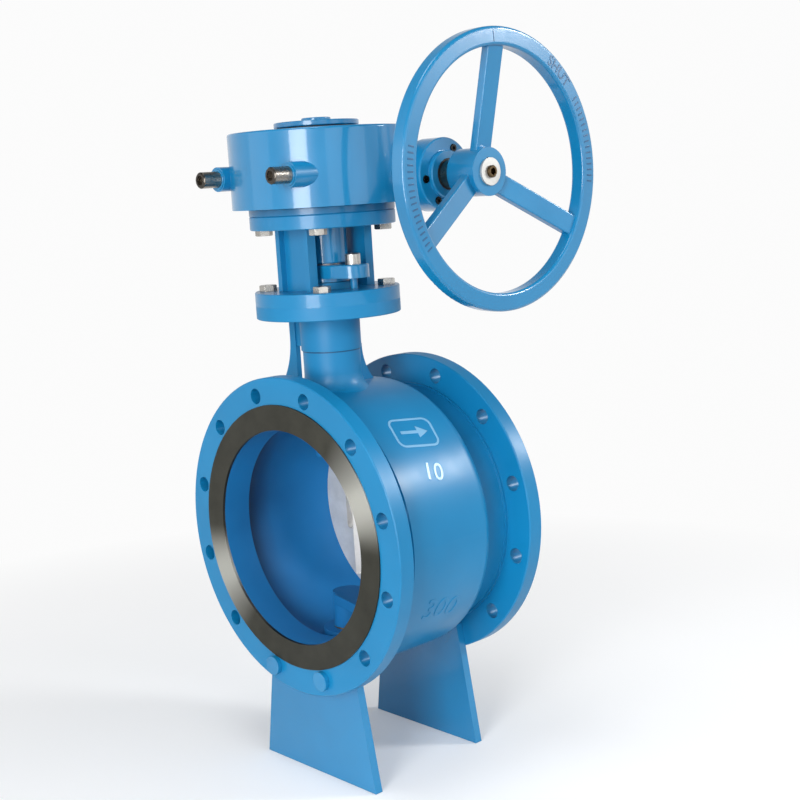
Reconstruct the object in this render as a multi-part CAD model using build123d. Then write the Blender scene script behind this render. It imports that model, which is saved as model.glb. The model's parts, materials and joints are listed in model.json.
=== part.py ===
"""Quarter-turn eccentric plug valve with double-flanged body, yoke, worm gearbox and handwheel.

Millimetres. The origin is the centre of the inlet flange face. +Y runs along the pipe from inlet
to outlet, +Z up the stem, +X towards the handwheel. The plug is modelled in its open position.
"""
import os
from math import asin, atan2, ceil, cos, degrees, pi, radians, sin, sqrt, tan

from build123d import *

# ------------------------------------------------------------------ driving sizes: pipe ends
bore_d = 300.0
flange_d = 445.0
flange_t = 24.5
flange_pcd = 400.0
flange_holes = 12
flange_hole_d = 22.0
body_length = 270.0
ring_d = 370.0
ring_t = 4.0
ring_proud = 2.0

# ------------------------------------------------------------------ driving sizes: body
waist_d = 362.0
waist_length = 15.5
drum_d = 396.0
drum_lead = 8.0
drum_end_y = 181.0
shoulder_r = 18.0
tail_d = 346.0
tail_length = 10.0
cavity_d = 356.0
lip_length = 45.0
seat_face_y = 197.0
rim_chamfer = 1.5
edge_chamfer = 1.0

# ------------------------------------------------------------------ driving sizes: stem line
stem_x = -3.0
stem_y = 101.0
stem_d = 45.0
neck_d = 84.0
neck_lower_d = 80.0
neck_step_z = 249.5
neck_root_z = 160.0
neck_blend_r = 30.0
neck_blend_drop = 12.0
side_rib_reach = 86.0
side_rib_flare_z = 260.0
side_rib_flare_r = 102.0
side_rib_width = 12.0
rear_rib_reach = 53.0
rear_rib_flare_z = 248.0
rear_rib_flare_r = 76.0
rear_rib_width = 20.0
rib_t = 8.0
rib_web_t = 3.0
rib_foot_z = 150.0
neck_flange_z = 297.5
neck_flange_t = 18.0
top_flange_d = 200.0
top_bolt_pcd = 164.0
top_bolt_d = 14.0
top_bolt_flats = 21.0
top_bolt_head_h = 8.5
boss_face_z = 152.0
boss_d = 76.0
upper_bush_length = 60.0
bush_wall = 5.0
stuffing_d = 64.0
stuffing_wall = 6.0
stuffing_floor_z = 285.0
stuffing_top_z = 343.0
packing_ring_count = 4
packing_ring_h = 9.0

# ------------------------------------------------------------------ driving sizes: plug and seat
plug_face_r = 135.0
plug_wall = 19.0
plug_half_height = 114.0
plug_half_width = 60.0
plug_edge_trim = 9.0
plug_arm_t = 14.0
plug_arm_half_width = 26.0
plug_hub_d = 56.0
plug_hub_end_z = 150.0
port_half_width = 52.0
port_half_height = 102.0
port_corner_r = 24.0
seat_depth = 45.0
lock_ring_depth = 12.0
lock_ring_bore_d = 272.0
spanner_slot_radius = 101.0
spanner_slot_length = 54.0
spanner_slot_width = 13.0
spanner_slot_depth = 12.0
spanner_slot_z = -18.0
lower_hub_d = 44.0
trunnion_d = 28.0
plug_pin_d = 12.0
seal_section = 5.0
seal_inset = 12.0
bottom_boss_d = 80.0
bottom_boss_z = -206.0
bottom_cover_t = 10.0
gasket_t = 2.0
cover_bolt_d = 8.0
cover_bolt_flats = 13.0
cover_bolt_head_h = 5.5
cover_bolt_reach = 18.0

# ------------------------------------------------------------------ driving sizes: feet
floor_z = -348.0
foot_t = 12.0
front_foot_width = 236.0
rear_foot_width = 214.0
foot_top_ratio = 0.74
foot_top_z = -172.0
foot_bolt_head_d = 27.0
foot_bolt_head_h = 7.0

# ------------------------------------------------------------------ driving sizes: gland and yoke
gland_lift = 6.0
gland_t = 18.0
gland_length = 156.0
gland_width = 72.0
gland_end_r = 22.0
gland_bolt_spread = 57.0
gland_bolt_d = 10.0
gland_bolt_head_d = 21.0
gland_bolt_head_h = 14.5
gland_bolt_reach = 12.0
yoke_plate_t = 18.5
yoke_top_z = 437.0
column_half_width = 34.0
column_inner = 44.0
column_web_t = 5.0
column_depth = 14.0
column_flange_t = 8.0
coupling_d = 62.0
coupling_gap = 1.5
key_width = 12.0
key_depth = 5.0
coupling_top_gap = 3.0
stem_joint_rise = 35.5

# ------------------------------------------------------------------ driving sizes: gearbox
base_flange_t = 10.0
base_spigot_t = 9.0
base_screw_d = 6.0
base_screw_head_d = 10.0
base_screw_head_h = 4.0
base_screw_inset = 6.0
base_screw_angles = (20, 160, 205, 250, 290, 335)
lug_height = 16.0
lug_wall = 4.0
housing_d = 244.0
housing_height = 101.8
housing_wall = 10.0
worm_offset = 100.0
shaft_rise = 32.0
gear_module = 4.0
wheel_teeth = 40
wheel_face = 28.0
wheel_hub_d = 96.0
wheel_ear_top = 24.0
flank_clear = 0.7
tunnel_d = 76.0
tunnel_bore_d = 54.0
tunnel_end_gap = 1.7
tunnel_end_wall = 10.0
plug_thread_d = 40.0
plug_flange_r = 32.0
plug_flange_t = 5.0
plug_nut_flats = 24.0
plug_nut_t = 8.0
snout_x = 128.0
snout_round_x = 100.0
bearing_cap_d = 98.0
bearing_cap_t = 12.0
cap_boss_d = 64.0
cap_boss_t = 6.0
snout_collar_length = 22.0
cap_bolt_pcd = 76.0
cap_bolt_d = 6.0
cap_bolt_reach = 14.0
cap_bolt_angles = (8, 64, 188, 244)
cap_head_d = 10.0
cap_head_h = 5.5
cap_head_sink = 4.0
cap_socket_flats = 5.0
seal_ring_d = 42.0
seal_ring_t = 6.0
shaft_d = 28.0
inner_journal_d = 24.0
inner_bush_length = 16.0
outer_bush_length = 22.0
shaft_nose_d = 38.0
thread_length = 80.0
spindle_d = 45.0
stop_offset = 76.0
stop_rest_offset = 16.0
stop_boss_d = 33.0
stop_boss_y = -15.0
stop_screw_d = 22.0
stop_screw_y = -44.0
stop_rise = 11.0
stop_root_depth = 30.0
stop_socket_flats = 12.0
stop_socket_depth = 10.0
stop_ring_d = 28.0
stop_ring_t = 5.0
stop_ring_proud = 1.0
indicator_d = 116.0
indicator_t = 7.0
indicator_gap = 4.2
indicator_cap_d = 40.0
indicator_cap_h = 5.0

# ------------------------------------------------------------------ driving sizes: handwheel
wheel_rim_d = 362.0
rim_width = 24.0
rim_depth = 22.0
rim_x = 237.0
rim_round = 4.0
hub_face_x = 220.0
hub_length = 47.0
hub_d = 63.0
spoke_count = 3
spoke_width = 28.0
spoke_t = 13.0
wheel_seat_d = 30.0
wheel_key_w = 8.0
wheel_key_depth = 4.0
washer_d = 36.0
washer_t = 3.0
hub_screw_d = 12.0
hub_screw_reach = 25.0
hub_screw_head_t = 4.0
hub_socket_flats = 9.0
hub_screw_head_d = 16.0

# ------------------------------------------------------------------ clearances
run_clear = 0.05
fit_clear = 0.10
face_clear = 0.10
seat_clear = 0.10
key_clear = 0.05
pocket_clear = 1.0
eccentric = -stem_x

# ------------------------------------------------------------------ derived places
bore_r = bore_d / 2
neck_top_z = neck_flange_z + neck_flange_t
yoke_z = neck_top_z + yoke_plate_t
gland_z = stuffing_top_z + gland_lift
coupling_z = gland_z + gland_t + coupling_gap
coupling_top_z = yoke_top_z - coupling_top_gap
stem_joint_z = coupling_z + stem_joint_rise
base_z = yoke_top_z + base_flange_t
housing_z = base_z
housing_top_z = housing_z + housing_height
shaft_z = base_z + shaft_rise
stop_z = shaft_z + stop_rise
indicator_z = housing_top_z + indicator_gap
stop_root_y = stem_y - stop_root_depth
spigot_top_z = base_z + base_spigot_t
worm_y = stem_y + worm_offset
tunnel_back_x = stem_x - sqrt((housing_d / 2) ** 2 - (worm_offset - plug_flange_r) ** 2) - tunnel_end_gap
worm_left_x = tunnel_back_x + tunnel_end_wall + 4
hub_back_x = hub_face_x - hub_length
wheel_low_z = shaft_z - wheel_face / 2
wheel_high_z = shaft_z + wheel_face / 2 + 8
stop_places = (stem_x - stop_offset, stem_x + stop_offset)
stop_ring_y = stop_boss_y - stop_ring_proud
stem_foot_z = plug_half_height - plug_arm_t + 6
trunnion_top_z = -stem_foot_z
plug_pin_z = (plug_half_height + plug_hub_end_z) / 2
housing_inner_r = housing_d / 2 - housing_wall
housing_roof_z = housing_top_z - housing_wall
seat_back_y = seat_face_y + seat_depth
seal_y = seat_back_y - seal_inset
lock_back_y = seat_back_y + lock_ring_depth
back_flange_y = body_length - flange_t
drum_start_y = flange_t + waist_length
plug_inner_r = plug_face_r - plug_wall
pocket_front_y = stem_y - plug_half_width - 2 * eccentric - 1
wheel_pitch_r = gear_module * wheel_teeth / 2
worm_pitch_r = worm_offset - wheel_pitch_r
worm_lead = pi * gear_module
bearing_cap_x = snout_x + bearing_cap_t
seal_face_x = bearing_cap_x + cap_boss_t
pressure_angle = radians(20)
lead_angle = degrees(atan2(worm_lead, 2 * pi * worm_pitch_r))

os.makedirs("parts", exist_ok=True)


# ------------------------------------------------------------------ shape helpers
def upright(radius, z_low, z_high, x=stem_x, y=stem_y):
    """A cylinder along Z, on the stem line unless x and y say otherwise."""
    shape = Cylinder(radius, z_high - z_low, align=(Align.CENTER, Align.CENTER, Align.MIN))
    return Pos(x, y, z_low) * shape


def along_y(radius, y_low, y_high, x=0.0, z=0.0):
    """A cylinder along Y, on the pipe axis unless x and z say otherwise."""
    shape = Cylinder(radius, y_high - y_low, align=(Align.CENTER, Align.CENTER, Align.MIN))
    return Pos(x, y_low, z) * Rot(-90, 0, 0) * shape


def along_x(radius, x_low, x_high, y=worm_y, z=shaft_z):
    """A cylinder along X, on the worm axis unless y and z say otherwise."""
    shape = Cylinder(radius, x_high - x_low, align=(Align.CENTER, Align.CENTER, Align.MIN))
    return Pos(x_low, y, z) * Rot(0, 90, 0) * shape


def block(x_low, x_high, y_low, y_high, z_low, z_high):
    """A box given by its two corners."""
    size = Box(x_high - x_low, y_high - y_low, z_high - z_low, align=(Align.MIN, Align.MIN, Align.MIN))
    return Pos(x_low, y_low, z_low) * size


def hexagon(flats, height):
    """An upright hexagonal prism on the origin."""
    return extrude(RegularPolygon(flats / 2, 6, major_radius=False), height)


def bolt_head(flats, height, side):
    """A hexagon head with its outer corners turned off; side is +1 where the outer end is up."""
    head = hexagon(flats, height)
    flare = flats * 0.09
    base_r = flats / 2 + flare
    cone = Cone(base_r + height / 0.55, base_r - flare * 1.3, height + flare * 0.2,
                align=(Align.CENTER, Align.CENTER, Align.MIN))
    if side < 0:
        cone = Pos(0, 0, height) * Rot(180, 0, 0) * cone
    return head & cone


def prism(points, depth):
    """A polygon in the XY plane raised by depth."""
    return extrude(make_face(Polyline(*points, close=True)), depth)


def ring(outer_d, inner_d, z_low, z_high, x=stem_x, y=stem_y):
    """An upright ring."""
    return upright(outer_d / 2, z_low, z_high, x, y) - upright(inner_d / 2, z_low - 1, z_high + 1, x, y)


def circle_points(radius, count, start_deg):
    """Evenly spaced points on a circle as pairs."""
    angles = [radians(start_deg + 360 * k / count) for k in range(count)]
    return [(radius * cos(a), radius * sin(a)) for a in angles]


def bevelled(shape, low=True, high=True):
    """Chamfer the outer rims of an upright turned piece, at its low end, its high end or both."""
    rims = shape.edges().filter_by(GeomType.CIRCLE).group_by(SortBy.RADIUS)[-1].sort_by(Axis.Z)
    chosen = rims[:1] * low + rims[-1:] * high
    return chamfer(chosen, edge_chamfer)


def group(shapes):
    """Separate solids kept side by side in one node."""
    solids = []
    for shape in shapes:
        solids.extend(shape.solids())
    return Compound(children=solids)


def export(name, shape):
    """Write one node."""
    export_step(shape, f"parts/{name}.step")


# ------------------------------------------------------------------ flange bolt places
flange_pitch = 360 / flange_holes
flange_points = circle_points(flange_pcd / 2, flange_holes, flange_pitch / 2)
foot_bolt_points = sorted(flange_points, key=lambda p: p[1])[:2]
top_bolt_points = circle_points(top_bolt_pcd / 2, 4, 45)
cover_bolt_points = circle_points((bottom_boss_d + trunnion_d) / 4 + bush_wall / 2, 4, 0)
base_screw_points = [circle_points(housing_inner_r - base_screw_inset, 1, a)[0] for a in base_screw_angles]
cap_bolt_points = [circle_points(cap_bolt_pcd / 2, 1, a)[0] for a in cap_bolt_angles]


# ------------------------------------------------------------------ valve body
def body_outer():
    """The flanged drum, turned about the pipe axis."""
    waist_r = waist_d / 2
    drum_r = drum_d / 2
    tail_r = tail_d / 2
    flange_r = flange_d / 2
    front = Polyline(
        (0, 0), (flange_r - rim_chamfer, 0), (flange_r, rim_chamfer), (flange_r, flange_t - rim_chamfer),
        (flange_r - rim_chamfer, flange_t), (waist_r, flange_t),
        (waist_r, drum_start_y), (drum_r, drum_start_y + drum_lead), (drum_r, drum_end_y),
    )
    tail_y = drum_end_y + shoulder_r
    reach = shoulder_r * sin(pi / 4)
    shoulder = ThreePointArc((drum_r, drum_end_y), (drum_r - shoulder_r + reach, drum_end_y + reach),
                             (drum_r - shoulder_r, tail_y))
    rear = Polyline(
        (drum_r - shoulder_r, tail_y), (tail_r, tail_y), (tail_r, tail_y + tail_length),
        (waist_r - 3, back_flange_y - 4), (waist_r, back_flange_y - 4), (waist_r, back_flange_y),
        (flange_r - rim_chamfer, back_flange_y), (flange_r, back_flange_y + rim_chamfer),
        (flange_r, body_length - rim_chamfer), (flange_r - rim_chamfer, body_length),
        (0, body_length), (0, 0),
    )
    return revolve(make_face(Wire([*front.edges(), *shoulder.edges(), *rear.edges()])), Axis.Y)


def body_cavity():
    """Inlet bore, chamber and outlet bore, turned about the pipe axis."""
    front = Polyline((0, -1), (bore_r, -1), (bore_r, lip_length))
    barrel = ThreePointArc((bore_r, lip_length), (cavity_d / 2, (lip_length + seat_face_y) / 2),
                           (bore_r, seat_face_y))
    rear = Polyline((bore_r, seat_face_y), (bore_r, body_length + 1), (0, body_length + 1), (0, -1))
    return revolve(make_face(Wire([*front.edges(), *barrel.edges(), *rear.edges()])), Axis.Y)


def plug_pocket():
    """Room beside the flow way for the open plug."""
    reach = plug_face_r + 2 * eccentric
    half = plug_half_height + pocket_clear
    sweep = upright(reach, -half, half)
    return sweep & block(bore_r / 4, cavity_d, pocket_front_y, seat_face_y, -half, half)


def neck_rib(turn_deg, reach, flare_z, flare_r, bar_width, top_z):
    """A flat bar beside the neck, curved out at its foot; a thin web joins its upper part to the neck."""
    drop = flare_z - rib_foot_z
    angle = asin(min(drop / flare_r, 0.9))
    foot_x = reach + flare_r * (1 - cos(angle))
    foot_z = flare_z - flare_r * sin(angle)
    mid_x = reach + flare_r * (1 - cos(angle / 2))
    mid_z = flare_z - flare_r * sin(angle / 2)
    sides = Polyline((foot_x, foot_z), (0, foot_z), (0, top_z), (reach, top_z), (reach, flare_z))
    curve = ThreePointArc((reach, flare_z), (mid_x, mid_z), (foot_x, foot_z))
    outline = make_face(Wire([*sides.edges(), *curve.edges()]))
    bar = extrude(Plane.XZ * outline, rib_t / 2, both=True)
    inner = reach - bar_width
    bar -= block(-1, inner, -rib_t, rib_t, 0, top_z + 1)
    web = extrude(Plane.XZ * outline, rib_web_t / 2, both=True)
    web &= block(0, inner + 1, -rib_t, rib_t, neck_step_z, top_z)
    return Pos(stem_x, stem_y, 0) * Rot(0, 0, turn_deg) * (bar + web)


def neck_blend():
    """The concave blend between the drum and the stem neck, turned about the stem."""
    low = drum_d / 2 - neck_blend_drop
    outer = neck_lower_d / 2 + neck_blend_r
    middle = neck_blend_r * (1 - sin(pi / 4))
    top = low + neck_blend_r
    sides = Polyline((neck_lower_d / 2, top), (0, top), (0, low - 6), (outer, low - 6), (outer, low))
    curve = ThreePointArc((outer, low), (neck_lower_d / 2 + middle, low + middle),
                          (neck_lower_d / 2, top))
    profile = make_face(Wire([*sides.edges(), *curve.edges()]))
    return Pos(stem_x, stem_y, 0) * revolve(Plane.XZ * profile, Axis.Z)


def body_castings():
    """Everything cast onto the drum: neck, ribs, neck flange, stuffing box and bottom boss."""
    parts = [
        upright(neck_lower_d / 2, neck_root_z, neck_step_z + 1),
        upright(neck_d / 2, neck_step_z, neck_flange_z + 1),
        neck_blend(),
        neck_rib(180, side_rib_reach, side_rib_flare_z, side_rib_flare_r, side_rib_width, neck_flange_z + 1),
        neck_rib(90, rear_rib_reach, rear_rib_flare_z, rear_rib_flare_r, rear_rib_width, neck_step_z + 1),
        bevelled(upright(top_flange_d / 2, neck_flange_z, neck_top_z), high=False),
        upright(stuffing_d / 2 + stuffing_wall, neck_top_z - 1, stuffing_top_z),
        upright(bottom_boss_d / 2, bottom_boss_z, -cavity_d / 2 - 2),
    ]
    return parts


def stem_bosses():
    """The two inner bosses that hold the stem bushes."""
    bosses = upright(boss_d / 2, boss_face_z, cavity_d / 2 + 8)
    bosses += upright(boss_d / 2, -cavity_d / 2 - 8, -boss_face_z)
    return bosses


def body_bores():
    """The turned bores on the stem line and the seats of the face rings."""
    bush_r = stem_d / 2 + bush_wall + fit_clear
    lower_bush_r = trunnion_d / 2 + bush_wall + fit_clear
    ring_r = ring_d / 2 + face_clear
    return [
        upright(bush_r, boss_face_z - 1, boss_face_z + upper_bush_length),
        upright(stem_d / 2 + 1, boss_face_z, stuffing_top_z + 1),
        upright(stuffing_d / 2, stuffing_floor_z, stuffing_top_z + 1),
        upright(lower_bush_r, bottom_boss_z - 1, -boss_face_z + 1),
        along_y(ring_r, -1, ring_t - ring_proud),
        along_y(ring_r, body_length - ring_t + ring_proud, body_length + 1),
    ]


def body_holes():
    """Flange, neck-flange, cover and gland bolt holes."""
    hole_r = flange_hole_d / 2
    holes = []
    for x, z in flange_points:
        holes.append(along_y(hole_r, -1, flange_t + 1, x, z))
        holes.append(along_y(hole_r, back_flange_y - 1, body_length + 1, x, z))
    for x, y in top_bolt_points:
        holes.append(upright(top_bolt_d / 2, neck_flange_z - 1, neck_top_z + 1, stem_x + x, stem_y + y))
    for x, y in cover_bolt_points:
        tip_z = bottom_boss_z + cover_bolt_reach
        holes.append(upright(cover_bolt_d / 2, bottom_boss_z - 1, tip_z, stem_x + x, stem_y + y))
    for side in (-1, 1):
        hole_x = stem_x + side * gland_bolt_spread
        holes.append(upright(gland_bolt_d / 2, neck_top_z - gland_bolt_reach, neck_top_z + 1, hole_x, stem_y))
    return holes


def make_body():
    """The body casting with its neck, neck flange, bosses and drilled holes."""
    body = body_outer()
    for casting in body_castings():
        body += casting
    body -= body_cavity()
    body -= plug_pocket()
    body += stem_bosses()
    for bore in body_bores():
        body -= bore
    body -= body_holes()
    return body


def face_ring(y_low):
    """A machined steel sealing ring let into a flange face."""
    shape = along_y(ring_d / 2, y_low, y_low + ring_t) - along_y(bore_r, y_low - 1, y_low + ring_t + 1)
    return shape


def make_foot(y_low, width):
    """A trapezoidal foot plate that hangs from two flange bolts."""
    half = width / 2
    top_half = half * foot_top_ratio
    points = [(-half, floor_z), (half, floor_z), (top_half, foot_top_z), (-top_half, foot_top_z)]
    face = make_face(Polyline(*points, close=True))
    plate = Pos(0, y_low + foot_t, 0) * extrude(Plane.XZ * face, foot_t)
    plate -= along_y(waist_d / 2 + 1, y_low - 1, y_low + foot_t + 1)
    for x, z in foot_bolt_points:
        plate -= along_y(flange_hole_d / 2, y_low - 1, y_low + foot_t + 1, x, z)
    return plate


def foot_bolts(face_y, direction):
    """Two round-headed bolts; the shanks run from the flange face in direction along Y."""
    bolts = []
    reach = flange_t + foot_t
    for x, z in foot_bolt_points:
        ends = sorted((face_y, face_y + direction * reach))
        head_ends = sorted((face_y, face_y - direction * foot_bolt_head_h))
        bolt = along_y(flange_hole_d / 2 - fit_clear, *ends, x, z)
        bolt += along_y(foot_bolt_head_d / 2, *head_ends, x, z)
        bolts.append(bolt)
    return group(bolts)


# ------------------------------------------------------------------ seat and plug
def seat_hollow():
    """The hollow in the seat's face that the closed plug fills."""
    half = plug_half_height + pocket_clear
    hollow = upright(plug_face_r + seat_clear, -half, half, 0, stem_y)
    return hollow & block(-bore_r, bore_r, seat_face_y - 1, lock_back_y, -half, half)


def make_seat_ring():
    """The seat: a thick stainless ring with a tall port and a hollow face for the plug."""
    seat = along_y(bore_r - fit_clear, seat_face_y, seat_back_y)
    seat -= seat_hollow()
    port = RectangleRounded(2 * port_half_width, 2 * port_half_height, port_corner_r)
    seat -= Pos(0, lock_back_y, 0) * extrude(Plane.XZ * port, seat_depth + 2 * lock_ring_depth)
    seat -= seal_groove_cut(1.0)
    for side in (-1, 1):
        slot = SlotOverall(spanner_slot_length, spanner_slot_width, rotation=90)
        cut = extrude(Plane.XZ * slot, spanner_slot_depth)
        seat -= Pos(side * spanner_slot_radius, seat_face_y + spanner_slot_depth, spanner_slot_z) * cut
    return seat


def seal_groove_cut(margin):
    """The ring-shaped groove round the seat for its seal."""
    half = seal_section / 2 + 0.05 * margin
    outer = along_y(bore_r + 5, seal_y - half, seal_y + half)
    return outer - along_y(bore_r - seal_section, seal_y - half - 1, seal_y + half + 1)


def make_seat_seal():
    """The rubber ring in the seat's groove."""
    half = seal_section / 2
    outer = along_y(bore_r - 0.02, seal_y - half, seal_y + half)
    return outer - along_y(bore_r - seal_section + 0.05, seal_y - half - 1, seal_y + half + 1)


def make_lock_ring():
    """The ring screwed in behind the seat."""
    shape = along_y(bore_r - fit_clear, seat_back_y, lock_back_y)
    shape -= along_y(lock_ring_bore_d / 2, seat_back_y - 1, lock_back_y + 1)
    radius = (bore_r + lock_ring_bore_d / 2) / 2
    for x, z in circle_points(radius, 4, 45):
        shape -= along_y(4, lock_back_y - 8, lock_back_y + 1, x, z)
    return shape


def plug_closed():
    """The plug in its closed position, facing the seat."""
    half_height = plug_half_height
    face = upright(plug_face_r, -half_height, half_height, 0, stem_y)
    face -= upright(plug_inner_r, -half_height - 1, half_height + 1, 0, stem_y)
    front_y = stem_y + plug_face_r + 1
    face &= block(-plug_half_width, plug_half_width, stem_y, front_y, -half_height, half_height)
    inner_edges = face.edges().filter_by(Axis.Z).group_by(Axis.Y)[0]
    face = chamfer(inner_edges, plug_edge_trim)
    rib_half = plug_arm_half_width / 2
    rib_y = plug_inner_r + 2
    arms = Part()
    for z_low in (half_height - plug_arm_t, -half_height):
        web = prism(
            [(stem_x - plug_arm_half_width, stem_y), (stem_x + plug_arm_half_width, stem_y),
             (plug_half_width - 14, stem_y + rib_y * 0.82), (rib_half, stem_y + rib_y),
             (-rib_half, stem_y + rib_y), (14 - plug_half_width, stem_y + rib_y * 0.82)],
            plug_arm_t,
        )
        arms += Pos(0, 0, z_low) * web
    plug = face + arms
    plug += upright(plug_hub_d / 2 + 4, half_height - plug_arm_t, plug_hub_end_z)
    plug += upright(lower_hub_d / 2, -plug_hub_end_z, -half_height + plug_arm_t)
    plug -= upright(stem_d / 2 + fit_clear, stem_foot_z - face_clear, plug_hub_end_z + 1)
    plug -= upright(trunnion_d / 2 + fit_clear, -plug_hub_end_z - 1, trunnion_top_z + face_clear)
    plug -= plug_pin_cut(fit_clear)
    return plug


def plug_pin_cut(clear):
    """The cross hole for the pin that drives the plug, in the closed position."""
    reach = plug_hub_d / 2 + 5
    return along_y(plug_pin_d / 2 + clear, stem_y - reach, stem_y + reach, stem_x, plug_pin_z)


def turned_open(shape):
    """Turn a closed-position shape a quarter turn about the stem to its open place."""
    return Pos(stem_x, stem_y, 0) * Rot(0, 0, -90) * Pos(-stem_x, -stem_y, 0) * shape


def make_plug_pin():
    """The cross pin through the plug hub and the stem."""
    reach = plug_hub_d / 2 + 3
    return along_y(plug_pin_d / 2, stem_y - reach, stem_y + reach, stem_x, plug_pin_z)


def make_plug_stem():
    """The stem from the plug's hub to the coupling above the gland."""
    stem = upright(stem_d / 2, stem_foot_z, stem_joint_z)
    hole = along_y(plug_pin_d / 2 + fit_clear, stem_y - stem_d, stem_y + stem_d, stem_x, plug_pin_z)
    stem -= turned_open(hole)
    stem -= key_slot(stem_d, coupling_z + 4, stem_joint_z + 1)
    return stem


def make_trunnion():
    """The lower journal, pressed into the plug and turning in the lower bush."""
    return upright(trunnion_d / 2, bottom_boss_z + 12, trunnion_top_z)


# ------------------------------------------------------------------ keys
def key_slot(shaft, z_low, z_high):
    """A key slot cut on the inlet side of an upright shaft."""
    half = key_width / 2 + key_clear
    depth_y = stem_y - shaft / 2 + key_depth
    return block(stem_x - half, stem_x + half, stem_y - shaft, depth_y, z_low, z_high)


def upright_key(shaft, z_low, z_high):
    """A parallel key that fills the slots in an upright shaft and its hub."""
    half = key_width / 2
    y_deep = stem_y - shaft / 2 + key_depth - key_clear
    return block(stem_x - half, stem_x + half, y_deep - 2 * key_depth + 2 * key_clear, y_deep, z_low, z_high)


def hub_slot(shaft, z_low, z_high):
    """The key slot in a hub's bore, on the inlet side."""
    half = key_width / 2 + key_clear
    y_far = stem_y - shaft / 2 - key_depth
    return block(stem_x - half, stem_x + half, y_far, stem_y, z_low, z_high)


# ------------------------------------------------------------------ stem bearings and gland
def make_upper_bush():
    """Bronze bush for the stem in the top boss."""
    top = boss_face_z + upper_bush_length - face_clear
    return ring(stem_d + 2 * bush_wall, stem_d + 2 * run_clear, boss_face_z, top)


def make_lower_bush():
    """Bronze bush for the lower journal."""
    return ring(trunnion_d + 2 * bush_wall, trunnion_d + 2 * run_clear, bottom_boss_z + 10, -boss_face_z)


def make_thrust_washer():
    """The washer that the plug's lower hub turns on."""
    low = -boss_face_z + face_clear
    return ring(lower_hub_d, trunnion_d + 2, low, -plug_hub_end_z - face_clear)


def make_bottom_gasket():
    """Gasket between the bottom boss and its cover."""
    low = bottom_boss_z - gasket_t
    gasket = upright(bottom_boss_d / 2, low, bottom_boss_z)
    for x, y in cover_bolt_points:
        gasket -= upright(cover_bolt_d / 2, low - 1, bottom_boss_z + 1, stem_x + x, stem_y + y)
    return gasket - upright(trunnion_d / 2 + 3, low - 1, bottom_boss_z + 1)


def make_bottom_cover():
    """Blind cover under the lower journal."""
    top = bottom_boss_z - gasket_t
    cover = upright(bottom_boss_d / 2, top - bottom_cover_t, top)
    cover = chamfer(cover.edges().sort_by(Axis.Z)[0], 1.5)
    for x, y in cover_bolt_points:
        cover -= upright(cover_bolt_d / 2, top - bottom_cover_t - 1, top + 1, stem_x + x, stem_y + y)
    return cover


def make_cover_bolts():
    """Hexagon screws of the bottom cover."""
    seat_z = bottom_boss_z - gasket_t - bottom_cover_t
    tip_z = bottom_boss_z + cover_bolt_reach - 2
    bolts = []
    for x, y in cover_bolt_points:
        shank = upright(cover_bolt_d / 2 - fit_clear, seat_z, tip_z, stem_x + x, stem_y + y)
        head_z = seat_z - cover_bolt_head_h
        head = Pos(stem_x + x, stem_y + y, head_z) * bolt_head(cover_bolt_flats, cover_bolt_head_h, -1)
        bolts.append(shank + head)
    return group(bolts)


def make_packing():
    """Packing rings round the stem in the stuffing box."""
    rings = []
    for k in range(packing_ring_count):
        low = stuffing_floor_z + k * packing_ring_h
        rings.append(ring(stuffing_d - 2 * run_clear, stem_d + 2 * run_clear, low, low + packing_ring_h))
    return group(rings)


def make_gland_follower():
    """The bush that the gland flange pushes onto the packing."""
    low = stuffing_floor_z + packing_ring_count * packing_ring_h
    follower = upright(stuffing_d / 2 - 0.3, low, stuffing_top_z + 1)
    follower += upright(stuffing_d / 2 + stuffing_wall, stuffing_top_z + 1, gland_z)
    return follower - upright(stem_d / 2 + 0.5, low - 1, gland_z + 1)


def make_gland_flange():
    """The oval flange pulled down by two gland bolts."""
    ends = [Pos(side * (gland_length / 2 - gland_end_r), 0) * Circle(gland_end_r) for side in (-1, 1)]
    outline = make_hull([*Circle(gland_width / 2).edges(), *ends[0].edges(), *ends[1].edges()])
    flange = Pos(stem_x, stem_y, gland_z) * extrude(outline, gland_t)
    flange = fillet(flange.edges().group_by(Axis.Z)[-1], 2)
    flange -= upright(stem_d / 2 + 1, gland_z - 1, gland_z + gland_t + 1)
    for side in (-1, 1):
        hole_x = stem_x + side * gland_bolt_spread
        flange -= upright(gland_bolt_d / 2 + 0.5, gland_z - 1, gland_z + gland_t + 1, hole_x, stem_y)
    return flange


def make_gland_bolts():
    """Two cap screws through the gland flange into the neck flange."""
    bolts = []
    head_z = gland_z + gland_t
    for side in (-1, 1):
        x = stem_x + side * gland_bolt_spread
        bolt = upright(gland_bolt_d / 2 - fit_clear, neck_top_z - gland_bolt_reach + 1, head_z, x, stem_y)
        head = upright(gland_bolt_head_d / 2, head_z, head_z + gland_bolt_head_h, x, stem_y)
        head = bevelled(head, low=False)
        head -= Pos(x, stem_y, head_z + gland_bolt_head_h / 2) * hexagon(8, gland_bolt_head_h)
        bolts.append(bolt + head)
    return group(bolts)


# ------------------------------------------------------------------ yoke
def yoke_column(side):
    """One channel-section column, open outwards; side is +1 or -1 along Y."""
    z_low = yoke_z - 1
    height = yoke_top_z - yoke_plate_t + 1 - z_low
    half = column_half_width
    web = Box(2 * half, column_web_t, height, align=(Align.CENTER, Align.MIN, Align.MIN))
    column = Pos(0, column_inner, 0) * web
    for edge in (-1, 1):
        flank = Box(column_flange_t, column_depth, height, align=(Align.CENTER, Align.MIN, Align.MIN))
        column += Pos(edge * (half - column_flange_t / 2), column_inner, 0) * flank
    turn = 0 if side > 0 else 180
    return Pos(stem_x, stem_y, z_low) * Rot(0, 0, turn) * column


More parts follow.
